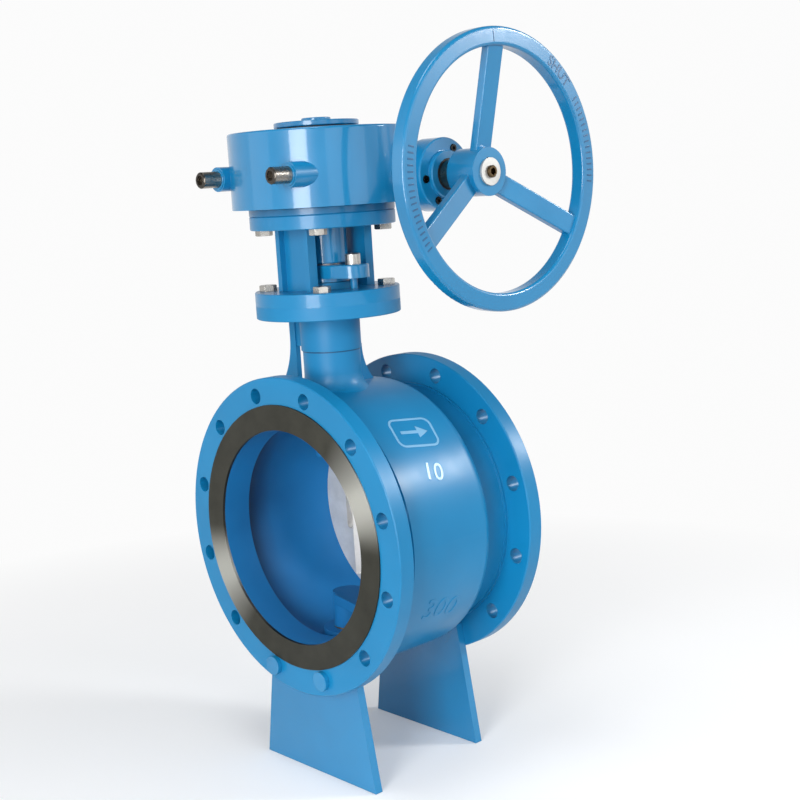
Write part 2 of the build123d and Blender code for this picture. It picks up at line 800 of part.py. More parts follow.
def make_yoke():
    """Two round plates joined by two channel columns."""
    lower = bevelled(ring(top_flange_d, stuffing_d + 2 * stuffing_wall + 4, neck_top_z, yoke_z), low=False)
    upper = ring(top_flange_d, coupling_d + 6, yoke_top_z - yoke_plate_t, yoke_top_z)
    yoke = lower + bevelled(upper)
    for side in (-1, 1):
        yoke += yoke_column(side)
    for x, y in top_bolt_points:
        yoke -= upright(top_bolt_d / 2 + 0.5, neck_top_z - 1, yoke_top_z + 1, stem_x + x, stem_y + y)
    for side in (-1, 1):
        hole_x = stem_x + side * gland_bolt_spread
        yoke -= upright(gland_bolt_d / 2 + 1, neck_top_z - 1, yoke_z + 1, hole_x, stem_y)
    return yoke


def hex_bolts(seat_z, tip_z):
    """Four hexagon bolts on the top-flange circle; the head is on seat_z away from tip_z."""
    bolts = []
    up = tip_z > seat_z
    for x, y in top_bolt_points:
        ends = sorted((seat_z, tip_z))
        shank = upright(top_bolt_d / 2 - fit_clear, *ends, stem_x + x, stem_y + y)
        head_z = seat_z - top_bolt_head_h if up else seat_z
        head = bolt_head(top_bolt_flats, top_bolt_head_h, -1 if up else 1)
        head = Pos(stem_x + x, stem_y + y, head_z) * head
        bolts.append(shank + head)
    return group(bolts)


# ------------------------------------------------------------------ stem coupling and spindle
def make_coupling():
    """The sleeve that joins the valve stem to the gearbox spindle."""
    sleeve = ring(coupling_d, stem_d + 2 * key_clear, coupling_z, coupling_top_z)
    sleeve = chamfer(sleeve.edges().filter_by(GeomType.CIRCLE).sort_by(SortBy.RADIUS)[-2:], 1.5)
    return sleeve - hub_slot(stem_d, coupling_z + 4, coupling_top_z - 4)


def make_coupling_key():
    """The long key inside the coupling."""
    return upright_key(stem_d, coupling_z + 4.1, coupling_top_z - 4.1)


def make_spindle():
    """The gearbox spindle through the worm wheel to the position indicator."""
    spindle = upright(spindle_d / 2, stem_joint_z + face_clear, housing_top_z + 1)
    spindle += upright(spindle_d / 2 - 6, housing_top_z, indicator_z)
    spindle -= key_slot(spindle_d, stem_joint_z, coupling_top_z - 4)
    spindle -= key_slot(spindle_d, wheel_low_z, wheel_high_z)
    return spindle


def make_wheel_key():
    """The key between the spindle and the worm wheel."""
    return upright_key(spindle_d, wheel_low_z + 0.1, wheel_high_z - 0.1)


# ------------------------------------------------------------------ gearbox
def make_base():
    """The gearbox base: a mounting flange with a spigot inside the housing."""
    base = bevelled(upright(top_flange_d / 2, yoke_top_z, base_z))
    base += upright(housing_inner_r - fit_clear, base_z, spigot_top_z)
    base -= upright(spindle_d / 2 + bush_wall + fit_clear, yoke_top_z - 1, spigot_top_z + 1)
    for x, y in top_bolt_points:
        base -= upright(top_bolt_d / 2, yoke_top_z - 1, spigot_top_z - 3, stem_x + x, stem_y + y)
    for x, y in base_screw_points:
        place = (stem_x + x, stem_y + y)
        base -= upright(base_screw_d / 2 + 0.2, base_z - 1, spigot_top_z + 1, *place)
        base -= upright(base_screw_head_d / 2 + 0.2, yoke_top_z - 1, base_z + base_screw_head_h, *place)
    base -= along_x(tunnel_bore_d / 2 + 0.5, tunnel_back_x, snout_x)
    return base


def make_base_bush():
    """Bronze bush for the spindle in the gearbox base."""
    return ring(spindle_d + 2 * bush_wall, spindle_d + 2 * run_clear, yoke_top_z + 1, spigot_top_z)


def make_roof_bush():
    """Bronze bush for the spindle in the housing roof."""
    return ring(spindle_d + 2 * bush_wall, spindle_d + 2 * run_clear, housing_roof_z, housing_top_z)


def make_housing():
    """The gear housing with its worm tunnel, snout and two stop-screw bosses."""
    shell = upright(housing_d / 2, housing_z, housing_top_z)
    shell = fillet(shell.edges().group_by(Axis.Z)[-1], 3)
    tunnel = along_x(tunnel_d / 2, tunnel_back_x, snout_x)
    tunnel -= block(tunnel_back_x - 1, snout_round_x, worm_y - tunnel_d, worm_y + tunnel_d, 0, housing_z)
    shell += tunnel + along_x(bearing_cap_d / 2, snout_x - snout_collar_length, snout_x)
    for x in stop_places:
        shell += along_y(stop_boss_d / 2, stop_boss_y, stop_root_y, x, stop_z)
    shell -= upright(housing_inner_r, housing_z - 1, housing_roof_z)
    shell -= along_x(tunnel_bore_d / 2, tunnel_back_x + tunnel_end_wall, snout_x + 1)
    shell -= upright(spindle_d / 2 + bush_wall + fit_clear, housing_roof_z - 1, housing_top_z + 1)
    for x in stop_places:
        shell -= along_y(stop_screw_d / 2, stop_boss_y - 1, stop_root_y, x, stop_z)
        shell -= along_y(stop_ring_d / 2, stop_boss_y - 1, stop_ring_y + stop_ring_t, x, stop_z)
    shell += base_lugs()
    for y, z in cap_bolt_points:
        shell -= along_x(cap_bolt_d / 2, snout_x - cap_bolt_reach, snout_x + 1, worm_y + y, shaft_z + z)
    shell -= along_x(plug_thread_d / 2, tunnel_back_x - 1, tunnel_back_x + tunnel_end_wall + 1)
    return shell


def base_lugs():
    """Six inner lugs that take the base screws."""
    lugs = Part()
    low = spigot_top_z
    high = low + lug_height
    for x, y in base_screw_points:
        lug = upright(base_screw_d / 2 + lug_wall, low, high, stem_x + x, stem_y + y)
        lug &= upright(housing_inner_r + 2, low, high)
        lug -= upright(base_screw_d / 2, low - 1, high - 3, stem_x + x, stem_y + y)
        lugs += lug
    return lugs


def make_base_screws():
    """Screws sunk into the base from below, up into the housing lugs."""
    screws = []
    head_top = base_z + base_screw_head_h
    tip = spigot_top_z + lug_height - 4
    for x, y in base_screw_points:
        place = (stem_x + x, stem_y + y)
        head = upright(base_screw_head_d / 2, base_z, head_top, *place)
        screws.append(head + upright(base_screw_d / 2 - fit_clear, base_z, tip, *place))
    return group(screws)


# ------------------------------------------------------------------ worm and worm wheel
def tooth_space():
    """One slanted tooth space of the worm wheel, at the wheel's +Y side."""
    tip = wheel_pitch_r + gear_module
    root = wheel_pitch_r - 1.25 * gear_module
    half = worm_lead / 4 + flank_clear
    flare = tan(pressure_angle)
    outer_half = half + (tip + 2 - wheel_pitch_r) * flare
    root_half = half - (wheel_pitch_r - root) * flare
    space = prism([(-outer_half, tip + 2), (outer_half, tip + 2), (root_half, root), (-root_half, root)],
                  wheel_face * 1.4)
    return Rot(0, lead_angle, 0) * Pos(0, 0, -wheel_face * 0.7) * space


def make_worm_wheel():
    """A toothed quadrant whose two flanks come to rest on the stop screws."""
    tip = wheel_pitch_r + gear_module
    low = wheel_low_z - shaft_z
    high = wheel_high_z - shaft_z
    sector = upright(tip, low, low + wheel_face, 0, 0)
    sector &= block(-stop_rest_offset, tip, -stop_rest_offset, tip, low, high)
    ears = upright(tip, low, low + wheel_ear_top + 12, 0, 0)
    ears -= upright(tip - 2.8 * gear_module, low, high + 20, 0, 0)
    first = block(0, tip + 1, -stop_rest_offset, -stop_rest_offset + 6, low, high + 20)
    second = block(-stop_rest_offset, -stop_rest_offset + 6, 0, tip + 1, low, high + 20)
    sector += ears & first
    sector += ears & second
    pitch = 360 / wheel_teeth
    spare = ceil(degrees(asin(stop_rest_offset / tip)) / pitch)
    cuts = [Rot(0, 0, pitch * k - 90) * tooth_space() for k in range(-spare, wheel_teeth // 4 + spare + 1)]
    sector -= cuts
    sector += upright(wheel_hub_d / 2, low, high, 0, 0)
    sector -= upright(spindle_d / 2 + key_clear, low - 1, high + 30, 0, 0)
    wheel = Pos(stem_x, stem_y, shaft_z) * sector
    return wheel - hub_slot(spindle_d, wheel_low_z - 1, wheel_high_z + 1)


def worm_thread():
    """The left-hand thread, centred on the stem so that it is in mesh when open."""
    depth_root = 1.25 * gear_module
    root = worm_pitch_r - depth_root
    tip = worm_pitch_r + gear_module
    half = worm_lead / 4 - flank_clear
    flare = tan(pressure_angle)
    turns = round(thread_length / worm_lead)
    height = turns * worm_lead
    path = Helix(worm_lead, height, root - 0.5, lefthand=True)
    tip_half = half - gear_module * flare
    root_half = half + (depth_root + 0.5) * flare
    section = Plane.XZ * make_face(Polyline(
        (root - 0.5, -root_half), (tip, -tip_half), (tip, tip_half), (root - 0.5, root_half), close=True))
    thread = sweep(section, path=path, is_frenet=True)
    return thread, height, turns


def make_worm_shaft():
    """The worm with its input shaft, journals and handwheel seat."""
    thread, height, turns = worm_thread()
    placed = Pos(stem_x - height / 2, worm_y, shaft_z) * Rot(mesh_phase(turns), 0, 0) * Rot(0, 90, 0) * thread
    root = worm_pitch_r - 1.25 * gear_module
    half = height / 2 + worm_lead / 2 + 1
    worm = along_x(root, stem_x - half, stem_x + half) + placed
    shaft = along_x(inner_journal_d / 2, worm_left_x, stem_x - half + 2)
    shaft += along_x(shaft_d / 2, stem_x + half - 2, hub_back_x)
    shaft += along_x(shaft_nose_d / 2, seal_face_x + 1, hub_back_x)
    shaft += along_x(wheel_seat_d / 2, hub_back_x, hub_face_x - face_clear)
    shaft -= along_x(hub_screw_d / 2, hub_face_x - hub_screw_reach - 1, hub_face_x + 1)
    shaft -= wheel_key_box(key_clear)
    return worm + shaft


def mesh_phase(turns):
    """Turn about the worm axis that puts a crest in the wheel's middle tooth space."""
    return 180 * (turns % 2) - 90


def wheel_key_box(clear):
    """The key of the handwheel, grown by clear on its faces."""
    half = wheel_key_w / 2 + clear
    middle = shaft_z + wheel_seat_d / 2
    return block(hub_back_x + 9 - clear, hub_face_x - 2, worm_y - half, worm_y + half,
                 middle - wheel_key_depth - clear, middle + wheel_key_depth - 0.8 + clear)


def worm_bush(x_low, x_high, journal_d):
    """A flanged bronze bush for one end of the worm shaft."""
    bush = along_x(tunnel_bore_d / 2 - fit_clear, x_low, x_high)
    return bush - along_x(journal_d / 2 + run_clear, x_low - 1, x_high + 1)


def make_tunnel_plug():
    """The screwed plug that closes the far end of the worm tunnel."""
    plug = along_x(plug_thread_d / 2 - fit_clear, tunnel_back_x, tunnel_back_x + tunnel_end_wall)
    flange = along_x(plug_flange_r, tunnel_back_x - plug_flange_t, tunnel_back_x)
    nut_x = tunnel_back_x - plug_flange_t - plug_nut_t
    nut = Pos(nut_x, worm_y, shaft_z) * Rot(0, 90, 0) * bolt_head(plug_nut_flats, plug_nut_t, -1)
    return plug + flange + nut


def make_bearing_cap():
    """The round cap on the snout, with a raised boss that holds the shaft seal."""
    cap = along_x(bearing_cap_d / 2, snout_x, bearing_cap_x)
    cap = chamfer(cap.edges().sort_by(Axis.X)[-1], 1.5)
    boss = along_x(cap_boss_d / 2, bearing_cap_x, seal_face_x)
    cap += chamfer(boss.edges().sort_by(Axis.X)[-1], 1.5)
    cap -= along_x(shaft_d / 2 + 1, snout_x - 1, seal_face_x)
    cap -= along_x(seal_ring_d / 2, seal_face_x - seal_ring_t, seal_face_x + 1)
    for y, z in cap_bolt_points:
        place = (worm_y + y, shaft_z + z)
        cap -= along_x(cap_bolt_d / 2 + 0.3, snout_x - 1, bearing_cap_x + 1, *place)
        cap -= along_x(cap_head_d / 2 + 0.4, bearing_cap_x - cap_head_sink, bearing_cap_x + 3, *place)
    return cap


def make_shaft_seal():
    """The lip seal in the bearing cap."""
    back_x = seal_face_x - seal_ring_t
    seal = along_x(seal_ring_d / 2 - run_clear, back_x, seal_face_x)
    return seal - along_x(shaft_d / 2 + run_clear, back_x - 1, seal_face_x + 1)


def make_cap_screws():
    """Socket screws of the bearing cap."""
    screws = []
    seat_x = bearing_cap_x - cap_head_sink
    for y, z in cap_bolt_points:
        place = (worm_y + y, shaft_z + z)
        screw = along_x(cap_bolt_d / 2 - fit_clear, snout_x - cap_bolt_reach + 1, seat_x, *place)
        head = along_x(cap_head_d / 2, seat_x, seat_x + cap_head_h, *place)
        socket = Pos(seat_x + cap_head_h / 2, *place) * Rot(0, 90, 0)
        head -= socket * hexagon(cap_socket_flats, cap_head_h)
        screws.append(screw + head)
    return group(screws)


# ------------------------------------------------------------------ travel stops
def make_stop_screw(x):
    """A travel-stop screw with a hexagon socket in its outer end."""
    tip_y = stem_y - stop_rest_offset - face_clear
    screw = along_y(stop_screw_d / 2 - fit_clear, stop_screw_y, tip_y, x, stop_z)
    screw = chamfer(screw.edges().sort_by(Axis.Y)[0], 1.5)
    socket = Pos(x, stop_screw_y + stop_socket_depth, stop_z) * Rot(90, 0, 0)
    socket *= hexagon(stop_socket_flats, 2 * stop_socket_depth)
    return screw - socket


def make_stop_rings():
    """Round lock rings let into the ends of the two stop bosses."""
    rings = []
    for x in stop_places:
        lock = along_y(stop_ring_d / 2 - fit_clear, stop_ring_y, stop_ring_y + stop_ring_t, x, stop_z)
        lock -= along_y(stop_screw_d / 2, stop_ring_y - 1, stop_ring_y + stop_ring_t + 1, x, stop_z)
        rings.append(lock)
    return group(rings)


# ------------------------------------------------------------------ position indicator
def make_indicator_seal():
    """The dark ring between the housing roof and the indicator disc."""
    return ring(indicator_d - 8, indicator_d - 28, housing_top_z, indicator_z - 0.3)


def make_indicator_disc():
    """The disc that turns with the plug."""
    disc = upright(indicator_d / 2, indicator_z, indicator_z + indicator_t)
    disc = bevelled(disc)
    return disc - upright(4, indicator_z - 1, indicator_z + indicator_t + 1)


def make_indicator_cap():
    """The round cap screwed through the disc into the spindle."""
    top = indicator_z + indicator_t
    cap = upright(indicator_cap_d / 2, top, top + indicator_cap_h)
    cap = fillet(cap.edges().sort_by(Axis.Z)[-1], 1.5)
    return cap + upright(4 - fit_clear, indicator_z, top)


# ------------------------------------------------------------------ handwheel
def wheel_spoke(turn_deg):
    """One flat spoke that leans outwards from the hub to the rim."""
    hub_r = hub_d / 2 - 8
    rim_r = wheel_rim_d / 2 - rim_width + 4
    hub_x = hub_face_x - spoke_t / 2 - 9
    half = spoke_t / 2
    profile = make_face(Polyline(
        (hub_x - half, hub_r), (hub_x + half, hub_r),
        (rim_x + half, rim_r), (rim_x - half, rim_r), close=True))
    spoke = extrude(Plane.XZ * profile, spoke_width / 2, both=True)
    spoke = fillet(spoke.edges().filter_by(lambda e: e.length > hub_d), 2)
    return Pos(0, worm_y, shaft_z) * Rot(turn_deg, 0, 0) * spoke


def make_handwheel():
    """Rim, three spokes and a bored hub in one casting."""
    mean_r = wheel_rim_d / 2 - rim_width / 2
    section = Pos(rim_x, mean_r) * RectangleRounded(rim_depth, rim_width, rim_round)
    rim = Pos(0, worm_y, shaft_z) * revolve(Plane.XZ * section, Axis.X)
    wheel = rim + along_x(hub_d / 2, hub_back_x, hub_face_x)
    for k in range(spoke_count):
        wheel += wheel_spoke(360 * k / spoke_count)
    wheel -= along_x(wheel_seat_d / 2 + fit_clear, hub_back_x - 1, hub_face_x + 1)
    return wheel - wheel_key_box(key_clear) - Pos(2, 0, 0) * wheel_key_box(key_clear)


def make_wheel_shaft_key():
    """The key between the input shaft and the handwheel hub."""
    return wheel_key_box(0)


def make_hub_washer():
    """The retaining washer on the hub."""
    washer = along_x(washer_d / 2, hub_face_x, hub_face_x + washer_t)
    return washer - along_x(hub_screw_d / 2 + 0.5, hub_face_x - 1, hub_face_x + washer_t + 1)


def make_hub_screw():
    """The socket screw that holds the washer and the wheel."""
    seat_x = hub_face_x + washer_t
    screw = along_x(hub_screw_d / 2 - fit_clear, hub_face_x - hub_screw_reach, seat_x)
    head = along_x(hub_screw_head_d / 2, seat_x, seat_x + hub_screw_head_t)
    head = chamfer(head.edges().sort_by(Axis.X)[-1], 1)
    socket = Pos(seat_x - hub_screw_head_t, worm_y, shaft_z) * Rot(0, 90, 0)
    socket *= hexagon(hub_socket_flats, 3 * hub_screw_head_t)
    return screw + head - socket


# ------------------------------------------------------------------ write every node
def main():
    """Build and write every node."""
    export("valve_body", make_body())
    export("inlet_face_ring", face_ring(-ring_proud))
    export("outlet_face_ring", face_ring(body_length - ring_t + ring_proud))
    export("seat_ring", make_seat_ring())
    export("seat_seal", make_seat_seal())
    export("seat_lock_ring", make_lock_ring())
    export("upper_stem_bush", make_upper_bush())
    export("lower_stem_bush", make_lower_bush())
    export("thrust_washer", make_thrust_washer())
    export("bottom_gasket", make_bottom_gasket())
    export("bottom_cover", make_bottom_cover())
    export("bottom_cover_bolts", make_cover_bolts())
    export("packing_rings", make_packing())
    export("gland_follower", make_gland_follower())
    export("gland_flange", make_gland_flange())
    export("gland_bolts", make_gland_bolts())
    export("front_foot", make_foot(flange_t, front_foot_width))
    export("rear_foot", make_foot(back_flange_y - foot_t, rear_foot_width))
    export("front_foot_bolts", foot_bolts(0, 1))
    export("rear_foot_bolts", foot_bolts(body_length, -1))
    export("yoke", make_yoke())
    export("yoke_lower_bolts", hex_bolts(yoke_z, neck_flange_z + 1))
    export("yoke_upper_bolts", hex_bolts(yoke_top_z - yoke_plate_t, spigot_top_z - 4))
    export("gearbox_base", make_base())
    export("gearbox_base_screws", make_base_screws())
    export("gearbox_base_bush", make_base_bush())
    export("gearbox_roof_bush", make_roof_bush())
    export("gearbox_housing", make_housing())
    inner_bush_x = worm_left_x + 2
    export("worm_bush_inner", worm_bush(inner_bush_x, inner_bush_x + inner_bush_length, inner_journal_d))
    export("worm_bush_outer", worm_bush(snout_x - outer_bush_length, snout_x, shaft_d))
    export("worm_tunnel_plug", make_tunnel_plug())
    export("bearing_cap", make_bearing_cap())
    export("bearing_cap_screws", make_cap_screws())
    export("shaft_seal", make_shaft_seal())
    export("stop_screw_closed", make_stop_screw(stop_places[0]))
    export("stop_screw_open", make_stop_screw(stop_places[1]))
    export("stop_lock_rings", make_stop_rings())
    export("indicator_seal", make_indicator_seal())
    export("plug", turned_open(plug_closed()))
    export("plug_pin", turned_open(make_plug_pin()))
    export("plug_stem", make_plug_stem())
    export("plug_trunnion", make_trunnion())
    export("stem_coupling", make_coupling())
    export("coupling_key", make_coupling_key())
    export("gearbox_spindle", make_spindle())
    export("worm_wheel_key", make_wheel_key())
    export("worm_wheel", make_worm_wheel())
    export("indicator_disc", make_indicator_disc())
    export("indicator_cap", make_indicator_cap())
    export("worm_shaft", make_worm_shaft())
    export("handwheel", make_handwheel())
    export("handwheel_key", make_wheel_shaft_key())
    export("hub_washer", make_hub_washer())
    export("hub_screw", make_hub_screw())


main()
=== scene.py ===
import json
import math

import bmesh
import bpy
from mathutils import Matrix, Vector


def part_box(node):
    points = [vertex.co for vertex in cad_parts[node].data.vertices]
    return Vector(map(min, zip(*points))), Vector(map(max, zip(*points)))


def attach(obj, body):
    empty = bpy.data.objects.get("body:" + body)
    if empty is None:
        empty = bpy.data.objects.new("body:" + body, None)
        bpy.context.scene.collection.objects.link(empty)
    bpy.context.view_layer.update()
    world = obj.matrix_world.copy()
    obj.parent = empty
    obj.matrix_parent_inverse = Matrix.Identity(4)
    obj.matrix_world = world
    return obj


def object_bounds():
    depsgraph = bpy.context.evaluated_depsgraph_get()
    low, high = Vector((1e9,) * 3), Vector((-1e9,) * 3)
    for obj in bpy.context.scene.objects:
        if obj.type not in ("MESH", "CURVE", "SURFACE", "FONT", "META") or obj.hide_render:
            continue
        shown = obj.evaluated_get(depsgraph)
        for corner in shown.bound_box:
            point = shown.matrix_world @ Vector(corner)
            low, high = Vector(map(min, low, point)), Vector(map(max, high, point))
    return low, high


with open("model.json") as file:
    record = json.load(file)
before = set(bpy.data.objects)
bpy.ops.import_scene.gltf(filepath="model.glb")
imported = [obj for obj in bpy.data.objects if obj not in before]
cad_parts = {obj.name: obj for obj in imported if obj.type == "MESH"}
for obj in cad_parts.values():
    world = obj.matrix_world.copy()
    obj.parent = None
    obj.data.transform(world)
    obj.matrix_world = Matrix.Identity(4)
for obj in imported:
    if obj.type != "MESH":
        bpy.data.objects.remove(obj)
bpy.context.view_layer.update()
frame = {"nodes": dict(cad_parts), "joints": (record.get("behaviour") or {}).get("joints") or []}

MM = 0.001
NODES = frame["nodes"]
SCENE = bpy.context.scene

JOINT_PLACES = {joint["name"]: Vector(joint["pos_m"]) for joint in frame["joints"]}

# Places and sizes on the valve, in metres
STEM = JOINT_PLACES["plug_turn"]
WHEEL_CENTRE = JOINT_PLACES["handwheel_spin"]
RIM_FACE_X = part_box("handwheel")[1][0]
RIM_MEAN_R = 169.0 * MM
BORE_R = 162.0 * MM
CHAMBER_R = 179.5 * MM
CHAMBER_FROM_Y = 45.0 * MM
CHAMBER_TO_Y = 197.0 * MM
LIP_Y = 45.5 * MM
DRUM_R = 198.0 * MM
NECK_ROOT_Z = 195.0 * MM
NECK_MATT_Z = 235.0 * MM
NECK_STEP_Z = 249.5 * MM
NECK_REACH = 42.5 * MM
STEP_SHADE_WIDTH = 2.0 * MM
GLAND_PAINT_Z = 349.0 * MM
STOP_END_Y = -42.5 * MM

# The painted shade behind the inlet lip: strongest just behind it, gone at the second place, and less low
# down
LIP_SHADE_Y = (50.0 * MM, 105.0 * MM)
LIP_SHADE_Z = (-150.0 * MM, -50.0 * MM)

# Bands that Blender's wave texture draws in one unit of length at a scale of 1
WAVE_BANDS = 3.183


# ------------------------------------------------------------------ camera
def make_camera():
    """The viewpoint: position in metres, turn, pitch and roll in degrees."""
    place = Vector((1.4501, -1.1188, 0.4776))
    yaw, pitch, roll = (math.radians(a) for a in (47.24, 9.20, -3.47))
    back = Vector((math.sin(yaw) * math.cos(pitch), -math.cos(yaw) * math.cos(pitch), math.sin(pitch)))
    right = Vector((math.cos(yaw), math.sin(yaw), 0.0))
    up = back.cross(right)
    turned_right = right * math.cos(roll) + up * math.sin(roll)
    turned_up = up * math.cos(roll) - right * math.sin(roll)
    data = bpy.data.cameras.new("camera")
    data.sensor_width = 36.0
    data.lens = 61.58
    data.clip_end = 50.0
    camera = bpy.data.objects.new("camera", data)
    basis = Matrix((turned_right, turned_up, back)).transposed().to_4x4()
    camera.matrix_world = Matrix.Translation(place) @ basis
    SCENE.collection.objects.link(camera)
    SCENE.camera = camera


# ------------------------------------------------------------------ node helpers
class Tree:
    """A small wrapper that makes material trees short to write."""

    def __init__(self, name):
        self.material = bpy.data.materials.new(name)
        self.material.use_nodes = True
        self.nodes = self.material.node_tree.nodes
        self.links = self.material.node_tree.links
        self.nodes.clear()
        self.out = self.add("ShaderNodeOutputMaterial")

    def add(self, kind, **settings):
        node = self.nodes.new(kind)
        for key, value in settings.items():
            setattr(node, key, value)
        return node

    def link(self, source, target):
        self.links.new(source, target)

    def fill(self, socket, value):
        if hasattr(value, "links"):
            self.link(value, socket)
        else:
            socket.default_value = value

    def coords(self):
        return self.add("ShaderNodeTexCoord").outputs["Object"]

    def axes(self):
        """The object coordinates as three separate numbers."""
        node = self.add("ShaderNodeSeparateXYZ")
        self.link(self.coords(), node.inputs[0])
        return node.outputs

    def noise(self, scale, detail=3.0, rough=0.5):
        node = self.add("ShaderNodeTexNoise")
        node.inputs["Scale"].default_value = scale
        node.inputs["Detail"].default_value = detail
        node.inputs["Roughness"].default_value = rough
        self.link(self.coords(), node.inputs["Vector"])
        return node.outputs["Fac"]

    def spread(self, value, low, high, to_low=0.0, to_high=1.0):
        node = self.add("ShaderNodeMapRange")
        node.inputs["From Min"].default_value = low
        node.inputs["From Max"].default_value = high
        node.inputs["To Min"].default_value = to_low
        node.inputs["To Max"].default_value = to_high
        self.link(value, node.inputs["Value"])
        return node.outputs["Result"]

    def maths(self, operation, a, b=0.0):
        node = self.add("ShaderNodeMath", operation=operation)
        self.fill(node.inputs[0], a)
        self.fill(node.inputs[1], b)
        return node.outputs[0]

    def mix(self, factor, a, b):
        node = self.add("ShaderNodeMix", data_type="RGBA")
        self.fill(node.inputs["Factor"], factor)
        self.fill(node.inputs["A"], a)
        self.fill(node.inputs["B"], b)
        return node.outputs["Result"]

    def bump(self, height, distance, strength, normal=None):
        node = self.add("ShaderNodeBump")
        node.inputs["Distance"].default_value = distance
        node.inputs["Strength"].default_value = strength
        self.link(height, node.inputs["Height"])
        if normal:
            self.link(normal, node.inputs["Normal"])
        return node.outputs["Normal"]

    def soft_edge(self, radius):
        node = self.add("ShaderNodeBevel", samples=4)
        node.inputs["Radius"].default_value = radius
        return node.outputs["Normal"]

    def length(self, a, b):
        """The length of a flat vector with the sides a and b."""
        square = self.maths("ADD", self.maths("MULTIPLY", a, a), self.maths("MULTIPLY", b, b))
        return self.maths("SQRT", square)

    def distance_xz(self):
        """Distance from the pipe's axis."""
        x, _, z = self.axes()
        return self.length(x, z)

    def shader(self, **inputs):
        node = self.add("ShaderNodeBsdfPrincipled")
        for key, value in inputs.items():
            self.fill(node.inputs[key.replace("_", " ")], value)
        self.link(node.outputs[0], self.out.inputs["Surface"])
        return node


def rgb(r, g, b):
    return (r, g, b, 1.0)


# ------------------------------------------------------------------ materials
ENAMEL = rgb(0.005, 0.215, 0.455)
ENAMEL_DEEP = rgb(0.003, 0.185, 0.40)
LINING = rgb(0.001, 0.17, 0.44)
LINING_DEEP = rgb(0.001, 0.13, 0.35)
# The colour of painted shade, behind the inlet lip and under the step on the neck
PAINTED_SHADE = rgb(0.004, 0.03, 0.08)


def inside_mask(t):
    """One in the bore and in the chamber of the body, zero on its outer faces."""
    r = t.distance_xz()
    y = t.axes()[1]
    in_bore = t.maths("LESS_THAN", r, BORE_R)
    in_chamber = t.maths("LESS_THAN", r, CHAMBER_R)
    past_front = t.maths("GREATER_THAN", y, CHAMBER_FROM_Y)
    before_back = t.maths("LESS_THAN", y, CHAMBER_TO_Y)
    between = t.maths("MULTIPLY", past_front, before_back)
    return t.maths("MAXIMUM", in_bore, t.maths("MULTIPLY", in_chamber, between))


def painted_step_shade_mask(t):
    """A narrow line of painted shade under the step on the stem neck."""
    x, y, z = t.axes()
    reach = t.length(t.maths("SUBTRACT", x, STEM.x), t.maths("SUBTRACT", y, STEM.y))
    above = t.maths("GREATER_THAN", z, NECK_STEP_Z - STEP_SHADE_WIDTH)
    below = t.maths("LESS_THAN", z, NECK_STEP_Z)
    line = t.maths("MULTIPLY", above, below)
    return t.maths("MULTIPLY", line, t.maths("LESS_THAN", reach, NECK_REACH))


def painted_lip_shade_mask(t):
    """How much painted shade darkens the chamber's wall behind the inlet lip, from zero to one."""
    _, y, z = t.axes()
    fade = t.spread(y, *LIP_SHADE_Y, 0.85, 0.0)
    shade = t.maths("MULTIPLY", fade, t.maths("GREATER_THAN", y, LIP_Y))
    return t.maths("MULTIPLY", shade, t.spread(z, *LIP_SHADE_Z))


def paint(name, base=ENAMEL, deep=ENAMEL_DEEP, wave=0.10, rough=0.34, coat=0.5, edge=0.8, gloss=0.36,
          lined=False):
    """Glossy enamel: slow tone drift, orange peel and the faint waves of the casting under it.

    wave and edge are in mm. lined is for the body: it adds the duller blue of its inside, a painted shade
    behind the lip, a painted shade line under the step on the neck and a more matt neck."""
    t = Tree(name)
    drift = t.noise(6.0, 3.0)
    waves = t.noise(26.0, 2.0, 0.4)
    peel = t.noise(260.0, 2.0)
    tone = t.mix(t.spread(drift, 0.35, 0.65), base, deep)
    roughness = t.spread(waves, 0.3, 0.7, rough - 0.03, rough + 0.05)
    if lined:
        mask = inside_mask(t)
        lining = t.mix(t.spread(drift, 0.35, 0.65), LINING, LINING_DEEP)
        # Painted shade: the chamber's wall darkens just behind the inlet lip
        lining = t.mix(painted_lip_shade_mask(t), lining, PAINTED_SHADE)
        tone = t.mix(mask, tone, lining)
        # Painted shade: a dark line under the step on the neck
        tone = t.mix(t.maths("MULTIPLY", painted_step_shade_mask(t), 0.7), tone, PAINTED_SHADE)
        roughness = t.maths("ADD", roughness, t.maths("MULTIPLY", mask, 0.35))
        matt_neck = t.spread(t.axes()[2], NECK_ROOT_Z, NECK_MATT_Z, 0.0, 0.16)
        roughness = t.maths("ADD", roughness, matt_neck)
    normal = t.bump(waves, wave * MM, 0.6, t.soft_edge(edge * MM))
    normal = t.bump(peel, 0.005 * MM, 0.5, normal)
    node = t.shader(Base_Color=tone, Roughness=roughness, Normal=normal)
    node.inputs["Specular IOR Level"].default_value = gloss
    node.inputs["Coat Weight"].default_value = coat
    node.inputs["Coat Roughness"].default_value = 0.09
    return t.material


def painted_sheen_mask(t, middle, half_width):
    """Two soft opposite fans of painted sheen about the pipe's axis, centred at an angle up from +X."""
    x, _, z = t.axes()
    angle = math.radians(middle)
    along_x = t.maths("MULTIPLY", x, math.cos(angle))
    along = t.maths("ADD", along_x, t.maths("MULTIPLY", z, math.sin(angle)))
    share = t.maths("ABSOLUTE", t.maths("DIVIDE", along, t.distance_xz()))
    return t.maths("POWER", t.spread(share, math.cos(math.radians(half_width)), 1.0), 1.5)


